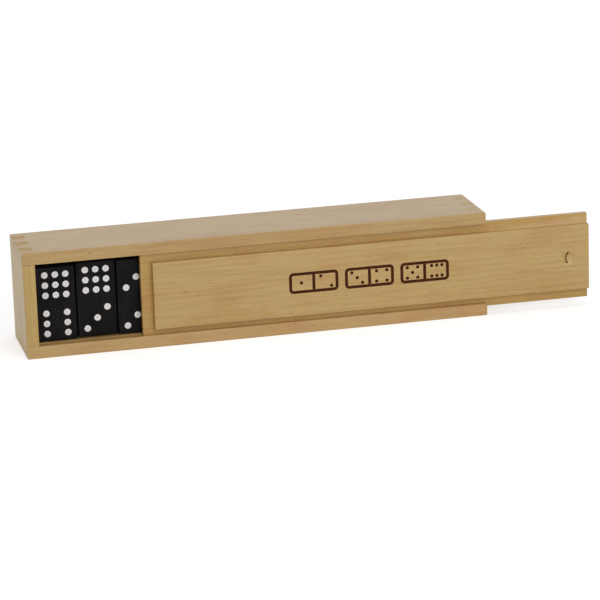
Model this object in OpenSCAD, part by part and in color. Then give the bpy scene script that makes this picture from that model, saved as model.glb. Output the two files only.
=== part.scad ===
// Domino storage box: a comb-jointed wooden tray that stands on its long side,
// a one-piece lid that slides out to the right in stopped grooves, and a
// double-nine set of black dominoes standing inside, less the eight in use.
// X runs along the box (the lid opens to +X), the lid faces -Y, Z is up.
// The origin is the centre of the face that the box stands on. Millimetres.

/* [Dominoes] */
// Length of a domino, which stands upright in the box
tile_l = 39.5; // [30:0.5:60]
// Width of a domino
tile_w = 20.4; // [15:0.1:30]
// Thickness of a domino
tile_t = 6; // [4:0.5:12]
// Chamfer on every edge of a domino
tile_ease = 0.4; // [0.2:0.1:1.2]
// Highest number of pips on one half
top_number = 9; // [6:1:9]
// Diameter of a pip
pip_d = 3.5; // [2:0.1:4.4]
// Distance from pip to pip within one half
pip_grid = 5.4; // [4.6:0.1:6]
// How far outwards from the middle of its half each set of pips lies
pip_shift = 0.3; // [0:0.05:0.5]
// Height of the enamel pip above the domino's face
pip_rise = 0.15; // [0.05:0.05:0.4]

/* [Stacking] */
// Dominoes side by side along the box
columns = 11; // [6:1:14]
// Dominoes one behind another
layers = 5; // [3:1:7]
// Free places at the right-hand end of a layer, where dominoes have been taken
free_columns = 4; // [0:1:4]
// Layers, from the front, that have those free places
free_layers = 2; // [0:1:2]
// Gap between neighbouring columns
column_gap = 0.6; // [0.2:0.1:2]
// Gap between the left end board and the first column
start_gap = 0.7; // [0.2:0.1:3]
// Gap between the last column and the right end board
end_gap = 1.3; // [0.2:0.1:10]
// Head room above the dominoes
head_room = 3.7; // [1:0.1:10]
// How far the second domino from the left stands proud of the floor
second_lift = 0.9; // [0:0.1:2]
// How far the third domino from the left stands proud of the floor
third_lift = 0.4; // [0:0.1:2]

/* [Tray] */
// Thickness of the four side and end boards
board_t = 6.4; // [5:0.1:12]
// Thickness of the back panel
back_t = 5.6; // [3:0.1:8]
// How far the back panel reaches into each board
back_rebate = 3.2; // [2:0.1:4]
// Play round the edge of the back panel
back_play = 0.15; // [0:0.05:0.5]
// Fingers of each comb joint, counted over the depth of the box
fingers = 7; // [3:2:9]
// Radius of the box's corners, seen from the front
corner_r = 0.8; // [0.5:0.1:3]

/* [Lid] */
// Thickness of the lip in front of the lid's groove
lip_t = 2.5; // [1.5:0.1:5]
// Thickness of the lid's tongue, which runs in the grooves
tongue_t = 3.2; // [2:0.1:6]
// Play in front of and behind the tongue
tongue_play = 0.2; // [0.1:0.05:0.6]
// Depth of the grooves
groove_d = 2.2; // [1.5:0.1:4]
// Play above and below the lid together, in its grooves
edge_play = 1.6; // [0.4:0.1:2.4]
// Gap under the lid where it rests low in its grooves
rest_gap = 0.1; // [0.05:0.05:0.3]
// Gap left at the stopped end of the grooves when the lid is shut
shut_gap = 0.3; // [0.1:0.1:1]
// Height of the raised panel above the tongue
panel_rise = 3.3; // [1:0.1:5]
// Width of the tongue that shows above and below the raised panel
rabbet_side = 5.3; // [3:0.1:9]
// Width of the tongue that shows left of the raised panel
rabbet_end = 5.9; // [3:0.1:12]
// Gap between the grooves and the pips of the front dominoes
lid_gap = 1.15; // [0.5:0.05:6]
// How far the lid stands open
lid_open = 56.4; // [0:0.2:180]

/* [Thumb notch] */
// Distance from the lid's right-hand end to the middle of the notch
notch_in = 11.7; // [8:0.1:30]
// Diameter of the shallow dish
dish_d = 8.5; // [5:0.1:14]
// Depth of the shallow dish
dish_depth = 1.1; // [0.3:0.1:1.5]
// Height of the nail cut in the middle of the dish
nail_l = 6; // [3:0.1:8]
// Radius that the nail cut curves by
nail_r = 4.8; // [4.2:0.1:12]
// Width of the nail cut
nail_w = 1.3; // [0.6:0.1:2]
// Depth of the nail cut
nail_depth = 2.4; // [1:0.1:2.6]
// Lean of the nail cut
nail_lean = 6; // [0:1:20]

/* [Hidden] */
$fn = 48;
over = 1; // how far a cut runs past the face it opens

wood = "#dbbf8f";
lid_wood = "#d8ba86";
back_wood = "#cfb07c";
black = "#232326";
enamel = "#f2f0ea";

// Dominoes and the room they stand in
tile_pitch_x = tile_w + column_gap;
tile_pitch_y = tile_t + pip_rise;
room_l = start_gap + columns * tile_pitch_x - column_gap + end_gap;
room_h = tile_l + head_room;
room_d = lid_gap + layers * tile_pitch_y;
groove_w = tongue_t + 2 * tongue_play;

// Outside of the box
box_l = room_l + 2 * board_t;
box_h = room_h + 2 * board_t;
box_d = lip_t + groove_w + room_d + back_t;
front_y = -box_d / 2;
back_y = box_d / 2;
left_x = -box_l / 2;
right_x = box_l / 2;
room_left = left_x + board_t;
room_right = right_x - board_t;
floor_z = board_t;
ceiling_z = box_h - board_t;
groove_y = front_y + lip_t;
room_y = groove_y + groove_w;
back_in_y = back_y - back_t;
finger_w = box_d / fingers;

// Lid
groove_left = room_left - groove_d;
groove_low = floor_z - groove_d;
groove_high = ceiling_z + groove_d;
lid_l = right_x - groove_left - shut_gap;
lid_h = groove_high - groove_low - edge_play;
lid_left = groove_left + shut_gap + lid_open;
lid_right = lid_left + lid_l;
lid_low = groove_low + rest_gap;
tongue_y = groove_y + tongue_play;
panel_y = tongue_y - panel_rise;
lid_mid_z = lid_low + lid_h / 2;

// The set: every pair once, less the dominoes that are in use
in_use = [[5, 3], [9, 2], [2, 2], [4, 2], [0, 0], [1, 0], [1, 1], [2, 0]];
first_three = [[9, 6], [9, 3], [3, 3]];
function is_in(pair, pairs) = len([for (p = pairs) if (p == pair) p]) > 0;
whole_set = [for (a = [0 : top_number]) for (b = [0 : a]) [a, b]];
put_away = [for (p = whole_set) if (!is_in(p, in_use)) p];
front_ones = [for (p = first_three) if (is_in(p, put_away)) p];
in_order = concat(front_ones, [for (p = put_away) if (!is_in(p, first_three)) p]);

// Places as [column, layer]: the first three at the front, then from the back forwards
shown_places = [for (column = [0 : len(front_ones) - 1]) [column, 0]];
function is_free(column, layer) = layer < free_layers && column >= columns - free_columns;
places = concat(shown_places, [
    for (layer = [layers - 1 : -1 : 0]) for (column = [0 : columns - 1])
    if (!is_free(column, layer) && !is_in([column, layer], shown_places)) [column, layer]
]);
tile_count = min(len(places), len(in_order));
lifts = [0, second_lift, third_lift];
function tile_name(pair) = str("tile_", pair[0], "_", pair[1]);
tile_names = [for (i = [0 : tile_count - 1]) tile_name(in_order[i])];
function holds_tiles(layer) = len([for (i = [0 : tile_count - 1]) if (places[i][1] == layer) i]) > 0;
used_layers = [for (layer = [0 : layers - 1]) if (holds_tiles(layer)) layer];
pip_names = [for (layer = used_layers) str("pips_layer_", layer + 1)];

// Where domino i stands: its left edge, its foot and its face
function tile_x(i) = room_left + start_gap + places[i][0] * tile_pitch_x;
function tile_z(i) = floor_z + (i < len(lifts) ? lifts[i] : 0);
function tile_y(i) = back_in_y - (layers - places[i][1]) * tile_pitch_y + pip_rise;

// Whether a half that counts n has a pip at column i and row j, each from -1 to 1
function has_pip(n, i, j) =
    (i == 0 && j == 0) ? n % 2 == 1 :
    (i == j) ? n >= 2 :
    (i == -j) ? n >= 4 :
    (j == 0) ? n >= 6 : n >= 8;

// Corner points of an a by b rectangle with its corners cut by e
function cut_rect(a, b, e) = [
    [e, 0], [a - e, 0], [a, e], [a, b - e], [a - e, b], [e, b], [0, b - e], [0, e]
];

// A block of size [x, y, z] with all twelve edges chamfered by e
module chamfered_block(size, e) {
    intersection() {
        linear_extrude(size[2]) polygon(cut_rect(size[0], size[1], e));
        translate([0, size[1], 0]) rotate([90, 0, 0])
            linear_extrude(size[1]) polygon(cut_rect(size[0], size[2], e));
        rotate([90, 0, 90])
            linear_extrude(size[0]) polygon(cut_rect(size[1], size[2], e));
    }
}

// The box's outline seen from the front, with rounded corners, over its depth
module rounded_outline() {
    translate([0, back_y + over, 0]) rotate([90, 0, 0]) linear_extrude(box_d + 2 * over) {
        translate([left_x + corner_r, 0]) square([box_l - 2 * corner_r, box_h]);
        translate([left_x, corner_r]) square([box_l, box_h - 2 * corner_r]);
        for (x = [left_x + corner_r, right_x - corner_r])
            for (z = [corner_r, box_h - corner_r])
                translate([x, z]) circle(corner_r);
    }
}

// The space that the lid's tongue slides in: stopped on the left, open on the right
module lid_way() {
    translate([groove_left, groove_y, groove_low])
        cube([box_l, groove_w, groove_high - groove_low]);
}

// The rebate that the back panel is let into
module back_way() {
    translate([room_left - back_rebate, back_in_y, floor_z - back_rebate])
        cube([room_l + 2 * back_rebate, back_t + over, room_h + 2 * back_rebate]);
}

// The slots that the end boards' fingers fill, cut through both long boards
module finger_slots() {
    for (x = [left_x - over, room_right])
        for (k = [1 : 2 : fingers - 2])
            translate([x, front_y + k * finger_w, -over])
                cube([board_t + over, finger_w, box_h + 2 * over]);
}

// A long board whose lower face lies at height z
module long_board(z) {
    difference() {
        intersection() {
            translate([left_x, front_y, z]) cube([box_l, box_d, board_t]);
            rounded_outline();
        }
        finger_slots();
        lid_way();
        back_way();
    }
}

// An end board whose left face lies at x and whose front edge lies at y
module end_board(x, y) {
    difference() {
        intersection() {
            union() {
                translate([x, y, floor_z]) cube([board_t, back_y - y, room_h]);
                for (k = [1 : 2 : fingers - 2])
                    translate([x, front_y + k * finger_w, 0])
                        cube([board_t, finger_w, box_h]);
            }
            rounded_outline();
        }
        lid_way();
        back_way();
    }
}

module top_side() {
    color(wood) long_board(ceiling_z);
}

module bottom_side() {
    color(wood) long_board(0);
}

module left_end() {
    color(wood) end_board(left_x, front_y);
}

// The right end board starts behind the lid, which slides out past it
module right_end() {
    color(wood) end_board(room_right, room_y);
}

module back_panel() {
    reach = back_rebate - back_play;
    color(back_wood)
        translate([room_left - reach, back_in_y, floor_z - reach])
            cube([room_l + 2 * reach, back_t, room_h + 2 * reach]);
}

// The cut that a gouge leaves: a slice of a ring, nail_l high, that bulges to the left
module nail_cut() {
    cut_h = nail_depth + over;
    bulge = nail_r - sqrt(nail_r * nail_r - nail_l * nail_l / 4);
    translate([nail_r - bulge, -over, 0]) rotate([-90, 0, 0]) difference() {
        intersection() {
            cylinder(r = nail_r + nail_w / 2, h = cut_h);
            translate([-nail_r - nail_w, -nail_l / 2, 0]) cube([nail_r + nail_w, nail_l, cut_h]);
        }
        translate([0, 0, -over]) cylinder(r = nail_r - nail_w / 2, h = cut_h + 2 * over);
    }
}

// A shallow round dish with a nail cut in the middle
module thumb_notch() {
    ball_r = (dish_d * dish_d / 4 + dish_depth * dish_depth) / (2 * dish_depth);
    translate([lid_right - notch_in, panel_y, lid_mid_z]) {
        translate([0, dish_depth - ball_r, 0]) sphere(ball_r, $fn = 96);
        rotate([0, nail_lean, 0]) nail_cut();
    }
}

module lid() {
    color(lid_wood) difference() {
        union() {
            translate([lid_left, tongue_y, lid_low]) cube([lid_l, tongue_t, lid_h]);
            translate([lid_left + rabbet_end, panel_y, lid_low + rabbet_side])
                cube([lid_l - rabbet_end, panel_rise + tongue_t / 2, lid_h - 2 * rabbet_side]);
        }
        thumb_notch();
    }
}

// Domino i of the set
module tile(i) {
    color(black) translate([tile_x(i), tile_y(i), tile_z(i)])
        chamfered_block([tile_w, tile_t, tile_l], tile_ease);
}

// The pips of one half of domino i: count n, centred at height z above its foot
module half_pips(i, n, z) {
    for (column = [-1 : 1]) for (row = [-1 : 1])
        if (has_pip(n, column, row))
            translate([
                tile_x(i) + tile_w / 2 + column * pip_grid,
                tile_y(i),
                tile_z(i) + z + row * pip_grid
            ])
                rotate([90, 0, 0]) cylinder(d = pip_d, h = pip_rise);
}

// The white pips of every domino in one layer, where the front layer is 0
module pips_layer(layer) {
    color(enamel) for (i = [0 : tile_count - 1]) if (places[i][1] == layer) {
        half_pips(i, in_order[i][0], tile_l * 3 / 4 + pip_shift);
        half_pips(i, in_order[i][1], tile_l / 4 - pip_shift);
    }
}

top_side();
bottom_side();
left_end();
right_end();
back_panel();
lid();
for (i = [0 : tile_count - 1])
    tile(i);
for (k = [0 : len(used_layers) - 1])
    pips_layer(used_layers[k]);
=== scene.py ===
"""Domino storage box: its boards, lid, dominoes and pips, with their real surfaces.

A comb-jointed beech tray stands on its long side. Its one-piece lid slides out to the right and
shows the black dominoes inside. Each operator makes one group of pieces from the frame's own
meshes and boxes, and main() calls them in order.
"""

import math

import bmesh
import bpy
from bpy.props import FloatProperty, FloatVectorProperty, IntProperty, PointerProperty
from mathutils import Matrix, Vector
from mathutils.bvhtree import BVHTree


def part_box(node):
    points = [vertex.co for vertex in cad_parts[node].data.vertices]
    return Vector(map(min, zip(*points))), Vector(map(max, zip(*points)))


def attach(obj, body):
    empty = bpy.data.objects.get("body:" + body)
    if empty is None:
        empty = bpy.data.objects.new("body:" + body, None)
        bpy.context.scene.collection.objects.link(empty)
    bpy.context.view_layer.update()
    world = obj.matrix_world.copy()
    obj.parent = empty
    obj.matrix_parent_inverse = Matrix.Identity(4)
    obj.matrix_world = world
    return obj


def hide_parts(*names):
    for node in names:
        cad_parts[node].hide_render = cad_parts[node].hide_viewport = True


bl_info = {
    "name": "Domino storage box",
    "version": (1, 0, 0),
    "blender": (4, 5, 0),
    "location": "3D View > Sidebar > Domino box",
    "description": "Dresses a sliding-lid domino box in beech, dyed wood and enamel",
    "category": "Object",
}

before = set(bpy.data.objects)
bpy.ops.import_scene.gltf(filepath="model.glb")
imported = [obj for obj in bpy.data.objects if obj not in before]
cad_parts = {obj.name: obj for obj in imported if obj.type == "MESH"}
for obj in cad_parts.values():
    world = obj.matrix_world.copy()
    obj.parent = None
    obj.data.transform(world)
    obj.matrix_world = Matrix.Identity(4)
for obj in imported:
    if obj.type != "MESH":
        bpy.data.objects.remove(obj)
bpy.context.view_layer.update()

MM = 0.001
PER_MM = 1000            # turns metres to millimetres, in which the beech is drawn
SAME_POINT = 0.001 * MM
TOUCHING = 0.02 * MM
FLAT = math.radians(1)   # faces closer than this are one flat face
CREASE = math.radians(30)

# How rough a cut face is left and how deep the painted shade on it, from 0 to 1, as the face's own
# attribute says
REACHED_AND_LIT = 0.5            # faces that look out of the box, where a hand can sand and less shade falls
TRAY_LEDGES = 1.0
LID_LEDGES = 0.3

# Turns that set upright what a tree draws flat, without and with a quarter turn round
UPRIGHT = (math.pi / 2, 0, 0)
UPRIGHT_QUARTER = (math.pi / 2, math.pi / 2, 0)

BOARDS = ("top_side", "bottom_side", "left_end", "right_end")
TILES = sorted(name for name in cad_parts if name.startswith("tile_"))
PIP_LAYERS = sorted(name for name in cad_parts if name.startswith("pips_layer_"))


# ------------------------------------------------------------------ colours and nodes


def linear(code):
    """The linear colour of an sRGB hex code."""
    parts = [int(code[k : k + 2], 16) / 255 for k in (1, 3, 5)]
    return [c / 12.92 if c <= 0.04045 else ((c + 0.055) / 1.055) ** 2.4 for c in parts]


def find_socket(sockets, name):
    """The socket in use that has this name or identifier."""
    return next(s for s in sockets if s.enabled and name in (s.name, s.identifier))


def add(tree, kind, inputs=None, **settings):
    """Adds a node to a tree. Settings are its own properties, and inputs its sockets' values.
    A link is written as (node, name of its output), and a joining socket takes a list of them."""
    node = tree.nodes.new(kind)
    for name, value in settings.items():
        setattr(node, name, value)
    for name, value in (inputs or {}).items():
        socket = find_socket(node.inputs, name)
        for source in value if socket.is_multi_input else [value]:
            if isinstance(source, tuple) and isinstance(source[0], bpy.types.Node):
                tree.links.new(find_socket(source[0].outputs, source[1]), socket)
            else:
                socket.default_value = source
    return node


def start_material(name):
    """An empty material and its node tree."""
    material = bpy.data.materials.new(name)
    material.use_nodes = True
    material.node_tree.nodes.clear()
    return material, material.node_tree


def finish_surface(material, inputs):
    """Ends a material with one surface that has these inputs."""
    surface = add(material.node_tree, "ShaderNodeBsdfPrincipled", inputs)
    add(material.node_tree, "ShaderNodeOutputMaterial", {"Surface": (surface, "BSDF")})
    return material


def stain(tree, under, mask, strength, code):
    """Multiplies a colour by a stain wherever the mask is 1, as deep as strength says."""
    depth = add(tree, "ShaderNodeMath", {"Value": mask, "Value_001": strength}, operation="MULTIPLY")
    mix = add(
        tree,
        "ShaderNodeMix",
        {"Factor": (depth, "Value"), "A": under, "B": [*linear(code), 1]},
        data_type="RGBA",
        blend_type="MULTIPLY",
    )
    return mix, "Result"


def between(tree, value, low, high):
    """A soft step from 0 at low to 1 at high."""
    step = add(
        tree,
        "ShaderNodeMapRange",
        {"Value": value, "From Min": low, "From Max": high},
        interpolation_type="SMOOTHSTEP",
    )
    return step, "Result"


def drawn_noise(tree, place, scale, detail):
    """Soft noise drawn out along the axes: scale says how many marks lie in a unit of each."""
    drawn = add(tree, "ShaderNodeMapping", {"Vector": place, "Scale": scale})
    return add(tree, "ShaderNodeTexNoise", {"Vector": (drawn, "Vector"), "Scale": 1, "Detail": detail})


# ------------------------------------------------------------------ materials

# Turns a board's own grain to run along X, the way the beech is drawn
GRAIN_TURN = {"X": (0, 0, 0), "Z": (0, math.pi / 2, 0)}


def beech(name, face, grain, pith, gloss=0.5):
    """Planed and sanded beech under a thin satin lacquer: a warm tan with soft growth rings,
    a fine grain and the short dark ray flecks that mark beech. Across the grain, as on the
    finger ends, it drinks the lacquer and shows darker. Where the cutter left a ledge or a
    groove, which the faces' own attribute marks, the colour is darkened too: partly as raw,
    unsanded wood and partly as painted shade in those recesses and under the lips. pith is
    where the middle of the tree lay, in millimetres, so each board is cut from a different
    place. gloss is the lacquer's share of mirrored light, lower on a board that soaked it up."""
    material, tree = start_material(name)
    place = add(tree, "ShaderNodeTexCoord")
    log = add(
        tree,
        "ShaderNodeMapping",
        {
            "Vector": (place, "Object"),
            "Rotation": GRAIN_TURN[grain],
            "Scale": (PER_MM,) * 3,
            "Location": pith,
        },
    )
    # Growth rings, which wander a few millimetres over the length of a board. The wave
    # repeats every pi / 10 of its unit
    ring_gap = 3.2  # millimetres
    wander = drawn_noise(tree, (log, "Vector"), (0.008, 0.03, 0.03), 2)
    sway = add(
        tree,
        "ShaderNodeVectorMath",
        {"Vector": (wander, "Color"), "Vector_001": (0, 12, 12), "Vector_002": (log, "Vector")},
        operation="MULTIPLY_ADD",
    )
    rings = add(
        tree,
        "ShaderNodeTexWave",
        {"Vector": (sway, "Vector"), "Scale": math.pi / 10 / ring_gap, "Distortion": 0.6, "Detail": 2},
        wave_type="RINGS",
        rings_direction="X",
        wave_profile="SAW",
    )
    # Grain streaks a little under 1 mm wide and some 25 mm long
    streaks = drawn_noise(tree, (log, "Vector"), (0.04, 1.1, 1.1), 3)
    # Ray flecks 2 to 3 mm long and 0.5 mm wide, coarser than real ones, which wouldn't show
    rays = drawn_noise(tree, (log, "Vector"), (0.3, 1.8, 1.8), 1.5)
    # Patches some 15 mm across and 30 mm long, where the tone turns redder
    patches = drawn_noise(tree, (log, "Vector"), (0.03, 0.07, 0.07), 3)
    # Pin knots: a dark dot up to 0.9 mm across wherever a face cuts one, 20 or so to a long face
    cells = add(tree, "ShaderNodeMapping", {"Vector": (log, "Vector"), "Scale": (0.1, 0.16, 0.16)})
    pins = add(tree, "ShaderNodeTexVoronoi", {"Vector": (cells, "Vector"), "Scale": 1})
    pin_dots = between(tree, (pins, "Distance"), 0.075, 0.035)
    # End grain: where the face looks along the grain
    facing = add(tree, "ShaderNodeSeparateXYZ", {"Vector": (place, "Normal")})
    along = add(tree, "ShaderNodeMath", {"Value": (facing, grain)}, operation="ABSOLUTE")
    end = between(tree, (along, "Value"), 0.6, 0.85)
    flecks = between(tree, (rays, "Fac"), 0.58, 0.76)
    # The faces' own mark for raw cut wood and for painted shade
    unsanded = add(tree, "ShaderNodeAttribute", attribute_name="unsanded")

    color = stain(tree, [*face, 1], between(tree, (rings, "Fac"), 0.40, 1.0), 0.11, "#d2b08a")
    color = stain(tree, color, between(tree, (streaks, "Fac"), 0.40, 0.72), 0.28, "#d5bb98")
    color = stain(tree, color, between(tree, (patches, "Fac"), 0.42, 0.72), 0.42, "#f0d3b8")
    color = stain(tree, color, flecks, 0.26, "#a9845c")
    color = stain(tree, color, pin_dots, 0.60, "#7a5232")
    color = stain(tree, color, end, 0.30, "#d8c8a8")
    # Marked cut faces: first the tone of raw cut wood, which on the lid's rabbet strips is also painted
    # shade, then a greyer painted shade, with some dust, on the tray's grooves and ledges, where the mark
    # is above a half
    color = stain(tree, color, between(tree, (unsanded, "Fac"), 0, REACHED_AND_LIT), 1.0, "#f8f0d4")
    color = stain(tree, color, between(tree, (unsanded, "Fac"), REACHED_AND_LIT, 1), 1.0, "#bfb3aa")

    # Lacquer is thinner over the flecks and soaks into the end grain, which dulls them
    sheen = add(
        tree,
        "ShaderNodeMath",
        {"Value": flecks, "Value_001": 0.08, "Value_002": 0.31},
        operation="MULTIPLY_ADD",
    )
    dull = add(
        tree,
        "ShaderNodeMath",
        {"Value": end, "Value_001": 0.10, "Value_002": (sheen, "Value")},
        operation="MULTIPLY_ADD",
    )
    # Open pores and sanding lines, a few hundredths of a millimetre deep
    relief = add(
        tree,
        "ShaderNodeMath",
        {"Value": flecks, "Value_001": -0.8, "Value_002": (streaks, "Fac")},
        operation="MULTIPLY_ADD",
    )
    bump = add(
        tree,
        "ShaderNodeBump",
        {"Height": (relief, "Value"), "Strength": 0.5, "Distance": 0.05 * MM},
    )
    return finish_surface(
        material,
        {
            "Base Color": color,
            "Roughness": (dull, "Value"),
            "Normal": (bump, "Normal"),
            "IOR": 1.5,
            "Specular IOR Level": gloss,
        },
    )


def dyed_hornbeam(name, face, roughness):
    """Hornbeam dyed black through and waxed: near black and satin, with a brown cast in the
    worn fibres and fine pores along the domino's length."""
    material, tree = start_material(name)
    place = add(tree, "ShaderNodeTexCoord")
    # Pores 0.45 mm wide and 4 mm long, standing upright, 2200 and 260 to the metre
    pores = drawn_noise(tree, (place, "Object"), (2200, 2200, 260), 3)
    # Worn patches some 11 mm across and 17 mm high
    patches = drawn_noise(tree, (place, "Object"), (90, 90, 60), 2)
    open_pores = between(tree, (pores, "Fac"), 0.50, 0.68)
    worn = between(tree, (patches, "Fac"), 0.40, 0.70)
    mix = add(
        tree,
        "ShaderNodeMix",
        {"Factor": worn, "A": [*face, 1], "B": [*linear("#1d1a1b"), 1]},
        data_type="RGBA",
    )
    color = stain(tree, (mix, "Result"), open_pores, 0.7, "#7d7d80")
    rough = add(
        tree,
        "ShaderNodeMath",
        {"Value": open_pores, "Value_001": 0.16, "Value_002": roughness},
        operation="MULTIPLY_ADD",
    )
    bump = add(tree, "ShaderNodeBump", {"Height": (pores, "Fac"), "Strength": 0.4, "Distance": 0.06 * MM})
    return finish_surface(
        material,
        {
            "Base Color": color,
            "Roughness": (rough, "Value"),
            "Normal": (bump, "Normal"),
            "IOR": 1.45,
            "Specular IOR Level": 0.08,
        },
    )


def pip_enamel(name, face, hollow):
    """White enamel dropped into the drilled pip and dried: glossy at the rim, greyer where it
    sank in the middle and shows the drill's mark. The grey follows the pip's own attribute."""
    material, tree = start_material(name)
    sunk = add(tree, "ShaderNodeAttribute", attribute_name="sunk")
    place = add(tree, "ShaderNodeTexCoord")
    # Handling marks about a millimetre across
    rubbed = add(tree, "ShaderNodeTexNoise", {"Vector": (place, "Object"), "Scale": 900, "Detail": 2})
    grime = between(tree, (rubbed, "Fac"), 0.45, 0.75)
    deep = between(tree, (sunk, "Fac"), 0.35, 1.0)
    mix = add(tree, "ShaderNodeMix", {"Factor": deep, "A": [*face, 1], "B": [*hollow, 1]}, data_type="RGBA")
    color = stain(tree, (mix, "Result"), grime, 0.5, "#d8d0cc")
    rough = add(
        tree,
        "ShaderNodeMath",
        {"Value": grime, "Value_001": 0.2, "Value_002": 0.32},
        operation="MULTIPLY_ADD",
    )
    return finish_surface(material, {"Base Color": color, "Roughness": (rough, "Value"), "IOR": 1.5})


def burnt_wood(name, face):
    """Beech scorched by a hot stamp: matt dark brown, a little uneven where the grain took
    more heat or less."""
    material, tree = start_material(name)
    place = add(tree, "ShaderNodeTexCoord")
    # Fibres 0.7 mm wide and 3 mm long
    fibres = drawn_noise(tree, (place, "Object"), (300, 1500, 1500), 3)
    mix = add(
        tree,
        "ShaderNodeMix",
        {
            "Factor": between(tree, (fibres, "Fac"), 0.40, 0.70),
            "A": [*face, 1],
            "B": [*linear("#542a12"), 1],
        },
        data_type="RGBA",
    )
    bump = add(tree, "ShaderNodeBump", {"Height": (fibres, "Fac"), "Strength": 0.5, "Distance": 0.05 * MM})
    return finish_surface(
        material,
        {
            "Base Color": (mix, "Result"),
            "Roughness": 0.85,
            "Normal": (bump, "Normal"),
            "Specular IOR Level": 0.15,
        },
    )


def seen_directly(tree):
    """1 for a ray that the camera, a reflection or a refraction sends, and 0 for the light."""
    path = add(tree, "ShaderNodeLightPath")
    mirrored = add(
        tree,
        "ShaderNodeMath",
        {"Value": (path, "Is Camera Ray"), "Value_001": (path, "Is Glossy Ray")},
        operation="MAXIMUM",
    )
    seen = add(
        tree,
        "ShaderNodeMath",
        {"Value": (mirrored, "Value"), "Value_001": (path, "Is Transmission Ray")},
        operation="MAXIMUM",
    )
    return seen, "Value"


def floor_paper(name, face, glow, far_glow):
    """A sweep of white studio paper. What the camera sees of it is lifted to white, the more
    so the farther off, where the lamps fade, and it keeps the box's shadow; the light that it
    throws back is that of plain pale paper."""
    material, tree = start_material(name)
    place = add(tree, "ShaderNodeTexCoord")
    # Fibres of the paper, drawn at 1.4 mm, because real ones are too fine to show
    fibre = add(tree, "ShaderNodeTexNoise", {"Vector": (place, "Object"), "Scale": 700, "Detail": 2})
    color = stain(tree, [*face, 1], (fibre, "Fac"), 0.05, "#e8e8e8")
    paper = add(tree, "ShaderNodeBsdfDiffuse", {"Color": color})
    # The lift grows between these two distances from the box's middle, in metres
    near, far = 0.25, 1.2
    away = add(tree, "ShaderNodeVectorMath", {"Vector": (place, "Object")}, operation="LENGTH")
    level = add(
        tree,
        "ShaderNodeMapRange",
        {"Value": (away, "Value"), "From Min": near, "From Max": far, "To Min": glow, "To Max": far_glow},
        interpolation_type="SMOOTHSTEP",
    )
    lift = add(tree, "ShaderNodeEmission", {"Color": (1, 1, 1, 1), "Strength": (level, "Result")})
    lifted = add(tree, "ShaderNodeAddShader", {"Shader": (paper, "BSDF"), "Shader_001": (lift, "Emission")})
    shown = add(
        tree,
        "ShaderNodeMixShader",
        {"Fac": seen_directly(tree), "Shader": (paper, "BSDF"), "Shader_001": (lifted, "Shader")},
    )
    add(tree, "ShaderNodeOutputMaterial", {"Surface": (shown, "Shader")})
    return material


# ------------------------------------------------------------------ meshes


def link(piece):
    """Puts an object in the scene."""
    bpy.context.scene.collection.objects.link(piece)
    return piece


def whole_copy(node, name):
    """A CAD node's loose triangles, merged into a closed mesh of whole faces, and its shape
    for further work."""
    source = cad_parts[node].data
    mesh = bpy.data.meshes.new(name)
    mesh.from_pydata([v.co for v in source.vertices], [], [p.vertices for p in source.polygons])
    shape = bmesh.new()
    shape.from_mesh(mesh)
    bmesh.ops.remove_doubles(shape, verts=shape.verts, dist=SAME_POINT)
    bmesh.ops.dissolve_limit(shape, angle_limit=FLAT, verts=shape.verts, edges=shape.edges)
    return mesh, shape


def build(mesh, shape):
    """Writes a shape to its mesh and makes a piece of it."""
    shape.to_mesh(mesh)
    shape.free()
    return link(bpy.data.objects.new(mesh.name, mesh))


def split_faces(shape, place, across):
    """Splits every face that a plane crosses, along that plane."""
    everything = [*shape.verts, *shape.edges, *shape.faces]
    bmesh.ops.bisect_plane(shape, geom=everything, dist=SAME_POINT, plane_co=place, plane_no=across)


def is_square(face):
    """Whether a face looks along one of the axes."""
    return max(abs(part) for part in face.normal) > math.cos(FLAT)


def arris_weights(shape, neighbours, seam_share, notched=False):
    """Marks the outer edges to be eased: fully where they are free, and by seam_share where
    they lie against a neighbour, as the fingers of a joint do. Inner corners stay crisp, and
    on a notched board so do the edges of the notch, whose faces lean or curve."""
    weights = shape.edges.layers.float.new("bevel_weight_edge")
    for edge in shape.edges:
        if len(edge.link_faces) != 2 or edge.calc_face_angle() < CREASE:
            continue
        if not edge.is_convex or (notched and not all(is_square(face) for face in edge.link_faces)):
            edge.smooth = False
            continue
        middle = (edge.verts[0].co + edge.verts[1].co) / 2
        near = any(tree.find_nearest(middle, TOUCHING)[0] is not None for tree in neighbours)
        edge[weights] = seam_share if near else 1.0


def mark_unsanded_and_shade(shape, ledges):
    """Marks the faces inside a board's outline, which a cutter left and no sander reached and
    where shade falls in the recesses: the ledges and walls by the share given, and the faces
    that look out of the box, along Y, by what a hand leaves there. The mark darkens the
    wood, partly as raw cut wood and partly as painted shade. A curved or leaning cut was
    sanded by hand."""
    marks = shape.faces.layers.float.new("unsanded")
    places = [vertex.co for vertex in shape.verts]
    low = [min(place[k] for place in places) for k in range(3)]
    high = [max(place[k] for place in places) for k in range(3)]
    for face in filter(is_square, shape.faces):
        axis = max(range(3), key=lambda k: abs(face.normal[k]))
        at = face.calc_center_median()[axis]
        if min(at - low[axis], high[axis] - at) > TOUCHING:
            face[marks] = REACHED_AND_LIT if axis == 1 else ledges


def ease(piece, width, segments=3, limit="WEIGHT"):
    """Rounds the marked edges, or with limit="ANGLE" every sharp one, as sanding does."""
    bevel = piece.modifiers.new("eased edges", "BEVEL")
    bevel.limit_method = limit
    bevel.angle_limit = CREASE
    bevel.width = width
    bevel.segments = segments
    bevel.use_clamp_overlap = False


def make_plain(piece):
    """Turns what the piece's modifiers make into its own mesh."""
    graph = bpy.context.evaluated_depsgraph_get()
    made = bpy.data.meshes.new_from_object(piece.evaluated_get(graph))
    made.name = piece.name
    piece.modifiers.clear()
    piece.data = made


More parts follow.
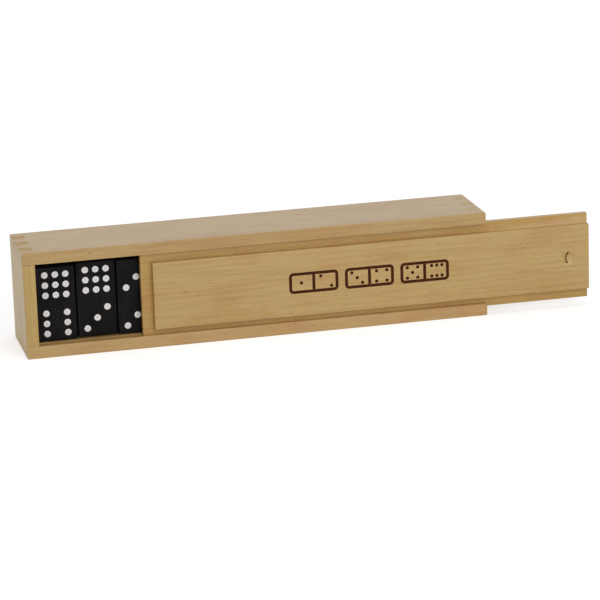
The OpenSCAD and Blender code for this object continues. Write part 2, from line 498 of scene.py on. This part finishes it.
def settle(piece):
    """Makes a piece plain, with even shading on its flat faces."""
    even = piece.modifiers.new("even shading", "WEIGHTED_NORMAL")
    even.keep_sharp = True
    piece.data.shade_smooth()
    make_plain(piece)


def surface_tree(node):
    """A search tree over a CAD node's surface."""
    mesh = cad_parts[node].data
    return BVHTree.FromPolygons([v.co for v in mesh.vertices], [p.vertices for p in mesh.polygons])


def take_place(piece, node, body):
    """Puts a piece in its node's place, on the body that it rides on, and hides the node."""
    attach(piece, body)
    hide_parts(node)


# ------------------------------------------------------------------ geometry node trees


def new_tree(name, inputs):
    """A Geometry Nodes tree with a geometry in and out and the named inputs given."""
    tree = bpy.data.node_groups.new(name, "GeometryNodeTree")
    tree.interface.new_socket("Geometry", in_out="INPUT", socket_type="NodeSocketGeometry")
    for label, kind in inputs:
        tree.interface.new_socket(label, in_out="INPUT", socket_type=kind)
    tree.interface.new_socket("Geometry", in_out="OUTPUT", socket_type="NodeSocketGeometry")
    return tree, add(tree, "NodeGroupInput")


def end_tree(tree, grown, material):
    """Ends a tree with whole meshes of one material."""
    whole = add(tree, "GeometryNodeRealizeInstances", {"Geometry": grown})
    done = add(tree, "GeometryNodeSetMaterial", {"Geometry": (whole, "Geometry"), "Material": material})
    add(tree, "NodeGroupOutput", {"Geometry": (done, "Geometry")})


def grow(name, points, tree, values):
    """Runs a tree on points and returns what grows there as a plain mesh object."""
    piece = link(bpy.data.objects.new(name, points))
    modifier = piece.modifiers.new(tree.name, "NODES")
    modifier.node_group = tree
    for item in tree.interface.items_tree:
        if item.in_out == "INPUT" and item.name in values:
            modifier[item.identifier] = values[item.name]
    make_plain(piece)
    return piece


def domino_points(name, dominoes):
    """A mesh with one point for each domino, which carries its two numbers."""
    mesh = bpy.data.meshes.new(name)
    mesh.from_pydata([domino[0] for domino in dominoes], [], [])
    for number, label in ((1, "first"), (2, "second")):
        values = mesh.attributes.new(label, "INT", "POINT")
        values.data.foreach_set("value", [domino[number] for domino in dominoes])
    return mesh


PIP_PLACES_INPUTS = (
    ("Half Offset", "NodeSocketVector"),
    ("Spacing", "NodeSocketFloat"),
    ("Turn", "NodeSocketVector"),
)


def pip_places_tree():
    """Points where the pips of dominoes stand, by the rule that every set follows: the middle
    for odd numbers, one diagonal from two, the other from four, the sides from six and the
    top and bottom from eight."""
    tree, given = new_tree("pip_places", PIP_PLACES_INPUTS)
    halves = []
    for label, way in (("first", 1), ("second", -1)):
        offset = add(
            tree,
            "ShaderNodeVectorMath",
            {"Vector": (given, "Half Offset"), "Scale": way},
            operation="SCALE",
        )
        moved = add(
            tree,
            "GeometryNodeSetPosition",
            {"Geometry": (given, "Geometry"), "Offset": (offset, "Vector")},
        )
        number = add(tree, "GeometryNodeInputNamedAttribute", {"Name": label}, data_type="INT")
        half = add(
            tree,
            "GeometryNodeStoreNamedAttribute",
            {"Geometry": (moved, "Geometry"), "Name": "count", "Value": (number, "Attribute")},
            data_type="INT",
            domain="POINT",
        )
        halves.append((half, "Geometry"))
    both = add(tree, "GeometryNodeJoinGeometry", {"Geometry": halves})

    # Three by three places, which remember their column and row as -1, 0 or 1
    side = add(tree, "ShaderNodeMath", {"Value": (given, "Spacing"), "Value_001": 2}, operation="MULTIPLY")
    block = add(
        tree,
        "GeometryNodeMeshGrid",
        {"Size X": (side, "Value"), "Size Y": (side, "Value"), "Vertices X": 3, "Vertices Y": 3},
    )
    at = add(tree, "GeometryNodeInputPosition")
    step = add(
        tree,
        "ShaderNodeVectorMath",
        {"Vector": (at, "Position"), "Vector_001": (given, "Spacing")},
        operation="DIVIDE",
    )
    known = add(
        tree,
        "GeometryNodeStoreNamedAttribute",
        {"Geometry": (block, "Mesh"), "Name": "step", "Value": (step, "Vector")},
        data_type="FLOAT_VECTOR",
        domain="POINT",
    )
    turn = add(tree, "FunctionNodeEulerToRotation", {"Euler": (given, "Turn")})
    turned = add(
        tree,
        "GeometryNodeTransform",
        {"Geometry": (known, "Geometry"), "Rotation": (turn, "Rotation")},
    )
    spread = add(
        tree,
        "GeometryNodeInstanceOnPoints",
        {"Points": (both, "Geometry"), "Instance": (turned, "Geometry")},
    )
    places = add(tree, "GeometryNodeRealizeInstances", {"Geometry": (spread, "Instances")})

    step_here = add(tree, "GeometryNodeInputNamedAttribute", {"Name": "step"}, data_type="FLOAT_VECTOR")
    count = add(tree, "GeometryNodeInputNamedAttribute", {"Name": "count"}, data_type="INT")
    parts = add(tree, "ShaderNodeSeparateXYZ", {"Vector": (step_here, "Attribute")})
    product = add(
        tree,
        "ShaderNodeMath",
        {"Value": (parts, "X"), "Value_001": (parts, "Y")},
        operation="MULTIPLY",
    )
    # On a diagonal the product is 1 or -1, and the pip is there from two or from four
    least_corner = add(
        tree,
        "ShaderNodeMath",
        {"Value": 3, "Value_001": (product, "Value")},
        operation="SUBTRACT",
    )
    # Between the corners a pip at the side is there from six, and one above or below from eight
    sideways = add(tree, "ShaderNodeMath", {"Value": (parts, "X")}, operation="ABSOLUTE")
    upright = add(tree, "ShaderNodeMath", {"Value": (parts, "Y")}, operation="ABSOLUTE")
    least_side = add(
        tree,
        "ShaderNodeMath",
        {"Value": (sideways, "Value"), "Value_001": -2, "Value_002": 8},
        operation="MULTIPLY_ADD",
    )
    away = add(
        tree,
        "ShaderNodeMath",
        {"Value": (sideways, "Value"), "Value_001": (upright, "Value")},
        operation="ADD",
    )
    is_corner = add(tree, "FunctionNodeCompare", {"A": (away, "Value"), "B": 1.5}, operation="GREATER_THAN")
    is_middle = add(tree, "FunctionNodeCompare", {"A": (away, "Value"), "B": 0.5}, operation="LESS_THAN")
    least = add(
        tree,
        "GeometryNodeSwitch",
        {"Switch": (is_corner, "Result"), "False": (least_side, "Value"), "True": (least_corner, "Value")},
        input_type="FLOAT",
    )
    # Half a pip of margin, because the places are decimal numbers
    margin = add(tree, "ShaderNodeMath", {"Value": (count, "Attribute"), "Value_001": 0.5}, operation="ADD")
    enough = add(
        tree,
        "FunctionNodeCompare",
        {"A": (margin, "Value"), "B": (least, "Output")},
        operation="GREATER_THAN",
    )
    over = add(tree, "ShaderNodeMath", {"Value": (count, "Attribute"), "Value_001": 2}, operation="MODULO")
    is_odd = add(tree, "FunctionNodeCompare", {"A": (over, "Value"), "B": 0.5}, operation="GREATER_THAN")
    stands = add(
        tree,
        "GeometryNodeSwitch",
        {"Switch": (is_middle, "Result"), "False": (enough, "Result"), "True": (is_odd, "Result")},
        input_type="BOOLEAN",
    )
    kept = add(
        tree,
        "GeometryNodeSeparateGeometry",
        {"Geometry": (places, "Geometry"), "Selection": (stands, "Output")},
        domain="POINT",
    )
    add(tree, "NodeGroupOutput", {"Geometry": (kept, "Selection")})
    return tree


def enamel_pips_tree(places):
    """A pip of enamel at each place that the numbers call for."""
    tree, given = new_tree(
        "enamel_pips",
        [*PIP_PLACES_INPUTS, ("Pip", "NodeSocketObject"), ("Enamel", "NodeSocketMaterial")],
    )
    passed_on = ("Geometry", *(label for label, _ in PIP_PLACES_INPUTS))
    points = add(
        tree,
        "GeometryNodeGroup",
        node_tree=places,
        inputs={label: (given, label) for label in passed_on},
    )
    pip = add(tree, "GeometryNodeObjectInfo", {"Object": (given, "Pip")})
    spread = add(
        tree,
        "GeometryNodeInstanceOnPoints",
        {"Points": (points, "Geometry"), "Instance": (pip, "Geometry")},
    )
    end_tree(tree, (spread, "Instances"), (given, "Enamel"))
    return tree


def stamped_dominoes_tree(places):
    """The cutter for a row of stamped dominoes that lie on their long side: an outline, a bar
    across the middle and the pips, each as deep below the points as it stands above them."""
    tree, given = new_tree(
        "stamped_dominoes",
        [
            ("Length", "NodeSocketFloat"),
            ("Height", "NodeSocketFloat"),
            ("Stroke", "NodeSocketFloat"),
            ("Corner", "NodeSocketFloat"),
            ("Pip", "NodeSocketFloat"),
            ("Spacing", "NodeSocketFloat"),
            ("Depth", "NodeSocketFloat"),
            ("Burnt", "NodeSocketMaterial"),
        ],
    )
    corner_steps = 8
    punch_sides = 24
    bar_share = 0.995  # of the height inside the outline, so that the bar ends a hair short
    thick = add(tree, "ShaderNodeMath", {"Value": (given, "Depth"), "Value_001": 2}, operation="MULTIPLY")

    # Outline, drawn along the middle of its stroke
    length, height = (
        add(
            tree,
            "ShaderNodeMath",
            {"Value": (given, size), "Value_001": (given, "Stroke")},
            operation="SUBTRACT",
        )
        for size in ("Length", "Height")
    )
    sides = add(
        tree,
        "GeometryNodeCurvePrimitiveQuadrilateral",
        {"Width": (length, "Value"), "Height": (height, "Value")},
    )
    rounded = add(
        tree,
        "GeometryNodeFilletCurve",
        {"Curve": (sides, "Curve"), "Radius": (given, "Corner"), "Count": corner_steps},
        mode="POLY",
    )
    section = add(
        tree,
        "GeometryNodeCurvePrimitiveQuadrilateral",
        {"Width": (given, "Stroke"), "Height": (thick, "Value")},
    )
    outline = add(
        tree,
        "GeometryNodeCurveToMesh",
        {"Curve": (rounded, "Curve"), "Profile Curve": (section, "Curve")},
    )
    standing = add(tree, "GeometryNodeTransform", {"Geometry": (outline, "Mesh"), "Rotation": UPRIGHT})
    # Bar across the middle
    inside = add(
        tree,
        "ShaderNodeMath",
        {"Value": (height, "Value"), "Value_001": (given, "Stroke")},
        operation="SUBTRACT",
    )
    bar_height = add(
        tree,
        "ShaderNodeMath",
        {"Value": (inside, "Value"), "Value_001": bar_share},
        operation="MULTIPLY",
    )
    bar_size = add(
        tree,
        "ShaderNodeCombineXYZ",
        {"X": (given, "Stroke"), "Y": (thick, "Value"), "Z": (bar_height, "Value")},
    )
    bar = add(tree, "GeometryNodeMeshCube", {"Size": (bar_size, "Vector")})
    frames = add(tree, "GeometryNodeJoinGeometry", {"Geometry": [(standing, "Geometry"), (bar, "Mesh")]})
    drawn = add(
        tree,
        "GeometryNodeInstanceOnPoints",
        {"Points": (given, "Geometry"), "Instance": (frames, "Geometry")},
    )

    # Pips, a quarter of the length off the middle, and turned because these dominoes lie down
    quarter = add(
        tree,
        "ShaderNodeMath",
        {"Value": (given, "Length"), "Value_001": -0.25},
        operation="MULTIPLY",
    )
    half_offset = add(tree, "ShaderNodeCombineXYZ", {"X": (quarter, "Value")})
    points = add(
        tree,
        "GeometryNodeGroup",
        node_tree=places,
        inputs={
            "Geometry": (given, "Geometry"),
            "Half Offset": (half_offset, "Vector"),
            "Spacing": (given, "Spacing"),
            "Turn": UPRIGHT_QUARTER,
        },
    )
    radius = add(tree, "ShaderNodeMath", {"Value": (given, "Pip"), "Value_001": 0.5}, operation="MULTIPLY")
    punch = add(
        tree,
        "GeometryNodeMeshCylinder",
        {"Vertices": punch_sides, "Radius": (radius, "Value"), "Depth": (thick, "Value")},
    )
    punch_upright = add(tree, "GeometryNodeTransform", {"Geometry": (punch, "Mesh"), "Rotation": UPRIGHT})
    dots = add(
        tree,
        "GeometryNodeInstanceOnPoints",
        {"Points": (points, "Geometry"), "Instance": (punch_upright, "Geometry")},
    )
    cutters = add(
        tree,
        "GeometryNodeJoinGeometry",
        {"Geometry": [(drawn, "Instances"), (dots, "Instances")]},
    )
    end_tree(tree, (cutters, "Geometry"), (given, "Burnt"))
    return tree


# ------------------------------------------------------------------ what a user may change


def color_property(name, about, code):
    return FloatVectorProperty(
        name=name, description=about, subtype="COLOR", size=3, min=0, max=1, default=linear(code)
    )


def length_property(name, about, millimetres):
    length = millimetres * MM
    return FloatProperty(
        name=name, description=about, subtype="DISTANCE", unit="LENGTH", min=0, default=length
    )


def angle_property(name, about, degrees):
    angle = math.radians(degrees)
    return FloatProperty(name=name, description=about, subtype="ANGLE", unit="ROTATION", default=angle)


def share_property(name, about, share):
    return FloatProperty(name=name, description=about, subtype="FACTOR", min=0, max=1, default=share)


def power_property(name, about, watts):
    return FloatProperty(name=name, description=about, unit="POWER", min=0, default=watts)


class TraySettings(bpy.types.PropertyGroup):
    top: color_property("Top board", "Colour of the upper long board", "#ba9b63")
    bottom: color_property("Bottom board", "Colour of the lower long board", "#c19f69")
    ends: color_property("End boards", "Colour of the two end boards", "#c5aa71")
    back: color_property("Back panel", "Colour of the thin back panel", "#c8a674")
    arris: length_property("Eased edge", "Width sanded off the outer edges", 0.4)
    seam: length_property("Seam", "Width of the hairline bevel where two boards meet", 0.1)


class LidSettings(bpy.types.PropertyGroup):
    face: color_property("Lid", "Colour of the lid", "#c0a064")
    arris: length_property("Eased edge", "Width sanded off the lid's edges", 0.35)
    burnt: color_property("Stamp", "Colour of the burnt stamp", "#3f1c0b")
    stamp_length: length_property("Domino length", "Length of a stamped domino", 26.4)
    stamp_height: length_property("Domino height", "Height of a stamped domino", 11.2)
    stamp_gap: length_property("Gap", "Gap between the stamped dominoes", 3.5)
    stroke: length_property("Stroke", "Width of the stamp's lines", 1.6)
    corner: length_property("Corner", "Radius of the stamped dominoes' corners", 1.5)
    dot: length_property("Dot", "Diameter of a stamped pip", 1.8)
    dot_spacing: length_property("Dot spacing", "Distance between stamped pips", 2.8)
    depth: length_property("Depth", "Depth of the stamp in the wood", 0.3)


class DominoSettings(bpy.types.PropertyGroup):
    face: color_property("Domino", "Colour of the dyed wood", "#131212")
    roughness: share_property("Roughness", "Roughness of the waxed wood", 0.42)
    ease: length_property("Eased edge", "Rounding of a domino's edges", 0.2)
    enamel: color_property("Pip", "Colour of the enamel at a pip's rim", "#edeae9")
    hollow: color_property("Pip middle", "Colour of the enamel in a pip's hollow", "#d8d4d3")
    pip: length_property("Pip diameter", "Diameter of a pip", 3.5)
    spacing: length_property("Pip spacing", "Distance between neighbouring pips", 5.4)
    shift: length_property("Pip shift", "How far out of the middle of its half each set of pips lies", 0.3)
    steps: IntProperty(name="Pip steps", description="Straight sides of a pip", min=8, max=32, default=20)


class StageSettings(bpy.types.PropertyGroup):
    paper: color_property("Floor", "Colour of the studio paper", "#e6e6e6")
    glow: share_property("Floor lift", "How far the floor by the box is lifted to white", 0.52)
    far_glow: share_property("Far floor lift", "How far the distant floor is lifted to white", 0.66)
    ambient: share_property("Ambient", "Strength of the light from all round", 0.45)
    key: power_property("Key lamp", "Power of the front lamp", 8.6)
    top: power_property("Top lamp", "Power of the overhead lamp", 5)
    fill: power_property("Fill lamp", "Power of the left-hand lamp", 3.6)
    lens: FloatProperty(
        name="Lens", description="Focal length", subtype="DISTANCE_CAMERA", min=1, default=183.5
    )
    azimuth: angle_property("Azimuth", "How far round to the right the camera stands", -12.92)
    elevation: angle_property("Elevation", "How far above the horizon the camera stands", 15.52)
    roll: angle_property("Roll", "How far the camera is tipped over", -1.92)
    distance: length_property("Distance", "Distance from the camera to its aim", 1589.9)


# ------------------------------------------------------------------ operators


class DOMINOBOX_OT_tray(bpy.types.Operator):
    """Make the four comb-jointed boards of the tray"""

    bl_idname = "dominobox.tray"
    bl_label = "Tray boards"

    # Colour, which way the grain runs, where the middle of the tree lay, and gloss
    CUTS = {
        "top_side": ("top", "X", (0, 14, 30), 0.5),
        "bottom_side": ("bottom", "X", (400, -20, 70), 0.5),
        "left_end": ("ends", "Z", (900, 35, 10), 0.08),
        "right_end": ("ends", "Z", (1300, 40, -60), 0.5),
    }

    def execute(self, context):
        settings = context.scene.domino_tray
        trees = {node: surface_tree(node) for node in BOARDS}
        # Long edges are split where the end boards begin, because there a seam turns into a lip
        splits_at = (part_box("left_end")[1].x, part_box("right_end")[0].x)
        for node in BOARDS:
            shade, grain, pith, gloss = self.CUTS[node]
            mesh, shape = whole_copy(node, f"{node}_board")
            for x in splits_at:
                split_faces(shape, (x, 0, 0), (1, 0, 0))
            others = [tree for name, tree in trees.items() if name != node]
            arris_weights(shape, others, settings.seam / settings.arris)
            # The cut faces' mark darkens them as raw wood and as painted shade in the grooves and ledges
            mark_unsanded_and_shade(shape, TRAY_LEDGES)
            piece = build(mesh, shape)
            ease(piece, settings.arris)
            settle(piece)
            wood = beech(f"beech_{node}", getattr(settings, shade), grain, pith, gloss)
            piece.data.materials.append(wood)
            take_place(piece, node, "box")
        return {"FINISHED"}


class DOMINOBOX_OT_back_panel(bpy.types.Operator):
    """Make the thin panel let into the back of the tray"""

    bl_idname = "dominobox.back_panel"
    bl_label = "Back panel"

    def execute(self, context):
        settings = context.scene.domino_tray
        mesh, shape = whole_copy("back_panel", "back_panel_ply")
        arris_weights(shape, [], 1)
        piece = build(mesh, shape)
        ease(piece, settings.seam)
        settle(piece)
        piece.data.materials.append(beech("beech_ply", settings.back, "X", (700, 60, -25)))
        take_place(piece, "back_panel", "box")
        return {"FINISHED"}


class DOMINOBOX_OT_lid(bpy.types.Operator):
    """Make the sliding lid with its raised panel, thumb notch and burnt stamp"""

    bl_idname = "dominobox.lid"
    bl_label = "Lid"

    STAMPED = ((1, 2), (3, 4), (5, 6))
    SPLIT_RISE = 0.22  # of a dot's diameter, from the row's middle to the lengthways split

    def stamp_places(self, settings, low, high):
        """Where the middle of each stamped domino lies, in a row across the raised panel."""
        pitch = settings.stamp_length + settings.stamp_gap
        middle = (low + high) / 2
        halfway = (len(self.STAMPED) - 1) / 2
        offsets = [(k - halfway) * pitch for k in range(len(self.STAMPED))]
        return [Vector((middle.x + offset, low.y, middle.z)) for offset in offsets]

    def stamp_cutter(self, settings, places):
        """The row of plain dominoes, cut into the lid by a Boolean modifier."""
        dominoes = [(place, *numbers) for place, numbers in zip(places, self.STAMPED)]
        tree = stamped_dominoes_tree(pip_places_tree())
        return grow(
            "stamp_cutter",
            domino_points("stamp_points", dominoes),
            tree,
            {
                "Length": settings.stamp_length,
                "Height": settings.stamp_height,
                "Stroke": settings.stroke,
                "Corner": settings.corner,
                "Pip": settings.dot,
                "Spacing": settings.dot_spacing,
                "Depth": settings.depth,
                "Burnt": burnt_wood("burnt_beech", settings.burnt),
            },
        )

    def execute(self, context):
        settings = context.scene.domino_lid
        low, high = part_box("lid")
        mesh, shape = whole_copy("lid", "lid_board")
        arris_weights(shape, [], 1, notched=True)
        # The cut faces' mark darkens the rabbet strips and ledges, as raw wood and as painted shade
        mark_unsanded_and_shade(shape, LID_LEDGES)
        # The panel's face is split between the stamped dominoes and through their upper half,
        # so that the Boolean modifier never cuts a ring out of the middle of a face
        places = self.stamp_places(settings, low, high)
        half_pitch = (settings.stamp_length + settings.stamp_gap) / 2
        split_faces(shape, places[0] - Vector((half_pitch, 0, 0)), (1, 0, 0))
        for place in places:
            split_faces(shape, place + Vector((half_pitch, 0, 0)), (1, 0, 0))
        split_faces(shape, places[0] + Vector((0, 0, settings.dot * self.SPLIT_RISE)), (0, 0, 1))
        piece = build(mesh, shape)
        ease(piece, settings.arris)
        mesh.materials.append(beech("beech_lid", settings.face, "X", (1700, 40, 55)))
        cutter = self.stamp_cutter(settings, places)
        stamp = piece.modifiers.new("stamp", "BOOLEAN")
        stamp.operation = "DIFFERENCE"
        stamp.solver = "EXACT"
        stamp.material_mode = "TRANSFER"
        stamp.object = cutter
        settle(piece)
        bpy.data.objects.remove(cutter)
        take_place(piece, "lid", "lid")
        return {"FINISHED"}


class DOMINOBOX_OT_dominoes(bpy.types.Operator):
    """Make the black dominoes that stand in the tray"""

    bl_idname = "dominobox.dominoes"
    bl_label = "Dominoes"

    def execute(self, context):
        settings = context.scene.domino_set
        wood = dyed_hornbeam("dyed_hornbeam", settings.face, settings.roughness)
        for node in TILES:
            piece = build(*whole_copy(node, node.replace("tile", "domino")))
            ease(piece, settings.ease, segments=2, limit="ANGLE")
            settle(piece)
            piece.data.materials.append(wood)
            take_place(piece, node, "box")
        return {"FINISHED"}


class DOMINOBOX_OT_pips(bpy.types.Operator):
    """Make the white enamel pips, one piece for each layer of dominoes"""

    bl_idname = "dominobox.pips"
    bl_label = "Pips"

    # A pip's section from the foot to the middle: share of its radius, share of its rise
    SECTION = ((0.97, -0.4), (1.0, 0.2), (0.90, 1.0), (0.55, 0.55), (0.16, 0.30))

    def pip(self, radius, rise, steps):
        """One drop of enamel, facing -Y, with a ring of points for each point of its section
        and an attribute that says how far it has sunk."""
        points = []
        for share, lift in self.SECTION:
            for k in range(steps):
                turn = 2 * math.pi * k / steps
                out = radius * share
                points.append((out * math.cos(turn), -rise * lift, out * math.sin(turn)))
        rings = len(self.SECTION)
        faces = [list(range(steps - 1, -1, -1)), list(range((rings - 1) * steps, rings * steps))]
        for ring in range(rings - 1):
            for k in range(steps):
                a, b = ring * steps + k, ring * steps + (k + 1) % steps
                faces.append((a, b, b + steps, a + steps))
        mesh = bpy.data.meshes.new("pip")
        mesh.from_pydata(points, [], faces)
        shape = bmesh.new()
        shape.from_mesh(mesh)
        bmesh.ops.recalc_face_normals(shape, faces=shape.faces)
        drop = build(mesh, shape)
        mesh.shade_smooth()
        sunk = mesh.attributes.new("sunk", "FLOAT", "POINT")
        sunk.data.foreach_set("value", [1 - share for share, _ in self.SECTION for _ in range(steps)])
        return drop

    def execute(self, context):
        settings = context.scene.domino_set
        enamel = pip_enamel("white_enamel", settings.enamel, settings.hollow)
        tree = enamel_pips_tree(pip_places_tree())
        boxes = {node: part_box(node) for node in TILES}
        low, high = boxes[TILES[0]]
        length = high.z - low.z
        for node in PIP_LAYERS:
            front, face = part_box(node)[0].y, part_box(node)[1].y
            dominoes = []
            for tile, (low, high) in boxes.items():
                if abs(low.y - face) < TOUCHING:
                    first, second = map(int, tile.split("_")[1:])
                    dominoes.append((((low.x + high.x) / 2, face, (low.z + high.z) / 2), first, second))
            if not dominoes:
                raise RuntimeError(f"no domino carries the pips of {node}")
            pip = self.pip(settings.pip / 2, face - front, settings.steps)
            piece = grow(
                node.replace("layer", "enamel"),
                domino_points(node, dominoes),
                tree,
                {
                    "Half Offset": (0, 0, length / 4 + settings.shift),
                    "Spacing": settings.spacing,
                    "Turn": UPRIGHT,
                    "Pip": pip,
                    "Enamel": enamel,
                },
            )
            bpy.data.objects.remove(pip)
            take_place(piece, node, "box")
        return {"FINISHED"}


class DOMINOBOX_OT_stage(bpy.types.Operator):
    """Set the floor, the lamps, the world and the camera"""

    bl_idname = "dominobox.stage"
    bl_label = "Stage"

    FLOOR_HALF = 6.0
    FLOOR_DROP = 0.02 * MM
    # Where each round lamp stands and how wide it is, in metres. All of them face the box
    LAMPS = {
        "key": ((0.3, -1.4, 0.55), 1.2),
        "top": ((0.1, -0.2, 1.9), 1.4),
        "fill": ((-1.9, -0.7, 0.7), 1.0),
    }
    AIM = Vector((21.05, -22.4, 18.2)) * MM
    SENSOR = 36  # millimetres
    CLIP = (0.01, 50)

    def floor(self, settings):
        half, z = self.FLOOR_HALF, -self.FLOOR_DROP
        mesh = bpy.data.meshes.new("floor")
        corners = [(-half, -half, z), (half, -half, z), (half, half, z), (-half, half, z)]
        mesh.from_pydata(corners, [], [(0, 1, 2, 3)])
        mesh.materials.append(floor_paper("studio_paper", settings.paper, settings.glow, settings.far_glow))
        link(bpy.data.objects.new("floor", mesh))

    def lamp(self, name, at, power, size):
        light = bpy.data.lights.new(name, "AREA")
        light.shape = "DISK"
        light.size = size
        light.energy = power
        lamp = link(bpy.data.objects.new(name, light))
        lamp.location = at
        lamp.rotation_euler = at.to_track_quat("Z", "Y").to_euler()

    def world(self, settings):
        """White wherever it is seen, and a plain level of light from all round."""
        world = bpy.data.worlds.new("studio")
        bpy.context.scene.world = world
        world.use_nodes = True
        tree = world.node_tree
        tree.nodes.clear()
        light = add(tree, "ShaderNodeBackground", {"Color": (1, 1, 1, 1), "Strength": settings.ambient})
        white = add(tree, "ShaderNodeBackground", {"Color": (1, 1, 1, 1), "Strength": 1})
        shown = add(
            tree,
            "ShaderNodeMixShader",
            {
                "Fac": seen_directly(tree),
                "Shader": (light, "Background"),
                "Shader_001": (white, "Background"),
            },
        )
        add(tree, "ShaderNodeOutputWorld", {"Surface": (shown, "Shader")})

    def camera(self, settings):
        """The photograph's viewpoint. Azimuth 0 looks along +Y, and the roll tips the frame."""
        a, e = settings.azimuth, settings.elevation
        back = Vector((math.sin(a) * math.cos(e), -math.cos(a) * math.cos(e), math.sin(e)))
        data = bpy.data.cameras.new("camera")
        data.sensor_width = self.SENSOR
        data.lens = settings.lens
        data.clip_start, data.clip_end = self.CLIP
        camera = link(bpy.data.objects.new("camera", data))
        place = Matrix.Translation(self.AIM + back * settings.distance)
        turn = back.to_track_quat("Z", "Y").to_matrix().to_4x4()
        camera.matrix_world = place @ turn @ Matrix.Rotation(settings.roll, 4, "Z")
        bpy.context.scene.camera = camera

    def execute(self, context):
        settings = context.scene.domino_stage
        self.floor(settings)
        for name, (at, size) in self.LAMPS.items():
            self.lamp(name, Vector(at), getattr(settings, name), size)
        self.world(settings)
        self.camera(settings)
        context.scene.view_settings.view_transform = "Standard"
        return {"FINISHED"}


# ------------------------------------------------------------------ panel and registration

GROUPS = {
    "domino_tray": (TraySettings, (DOMINOBOX_OT_tray, DOMINOBOX_OT_back_panel)),
    "domino_lid": (LidSettings, (DOMINOBOX_OT_lid,)),
    "domino_set": (DominoSettings, (DOMINOBOX_OT_dominoes, DOMINOBOX_OT_pips)),
    "domino_stage": (StageSettings, (DOMINOBOX_OT_stage,)),
}


class DOMINOBOX_PT_panel(bpy.types.Panel):
    """Sizes, colours and steps of the domino box"""

    bl_label = "Domino box"
    bl_idname = "DOMINOBOX_PT_panel"
    bl_space_type = "VIEW_3D"
    bl_region_type = "UI"
    bl_category = "Domino box"

    def draw(self, context):
        for attribute, (_, operators) in GROUPS.items():
            box = self.layout.box()
            settings = getattr(context.scene, attribute)
            for name in settings.__annotations__:
                box.prop(settings, name)
            for operator in operators:
                box.operator(operator.bl_idname)


def register():
    for attribute, (settings, operators) in GROUPS.items():
        bpy.utils.register_class(settings)
        setattr(bpy.types.Scene, attribute, PointerProperty(type=settings))
        for operator in operators:
            bpy.utils.register_class(operator)
    bpy.utils.register_class(DOMINOBOX_PT_panel)


def unregister():
    bpy.utils.unregister_class(DOMINOBOX_PT_panel)
    for attribute, (settings, operators) in GROUPS.items():
        for operator in operators:
            bpy.utils.unregister_class(operator)
        delattr(bpy.types.Scene, attribute)
        bpy.utils.unregister_class(settings)


def main():
    register()
    bpy.ops.dominobox.tray()
    bpy.ops.dominobox.back_panel()
    bpy.ops.dominobox.lid()
    bpy.ops.dominobox.dominoes()
    bpy.ops.dominobox.pips()
    bpy.ops.dominobox.stage()


if __name__ == "__main__":
    main()
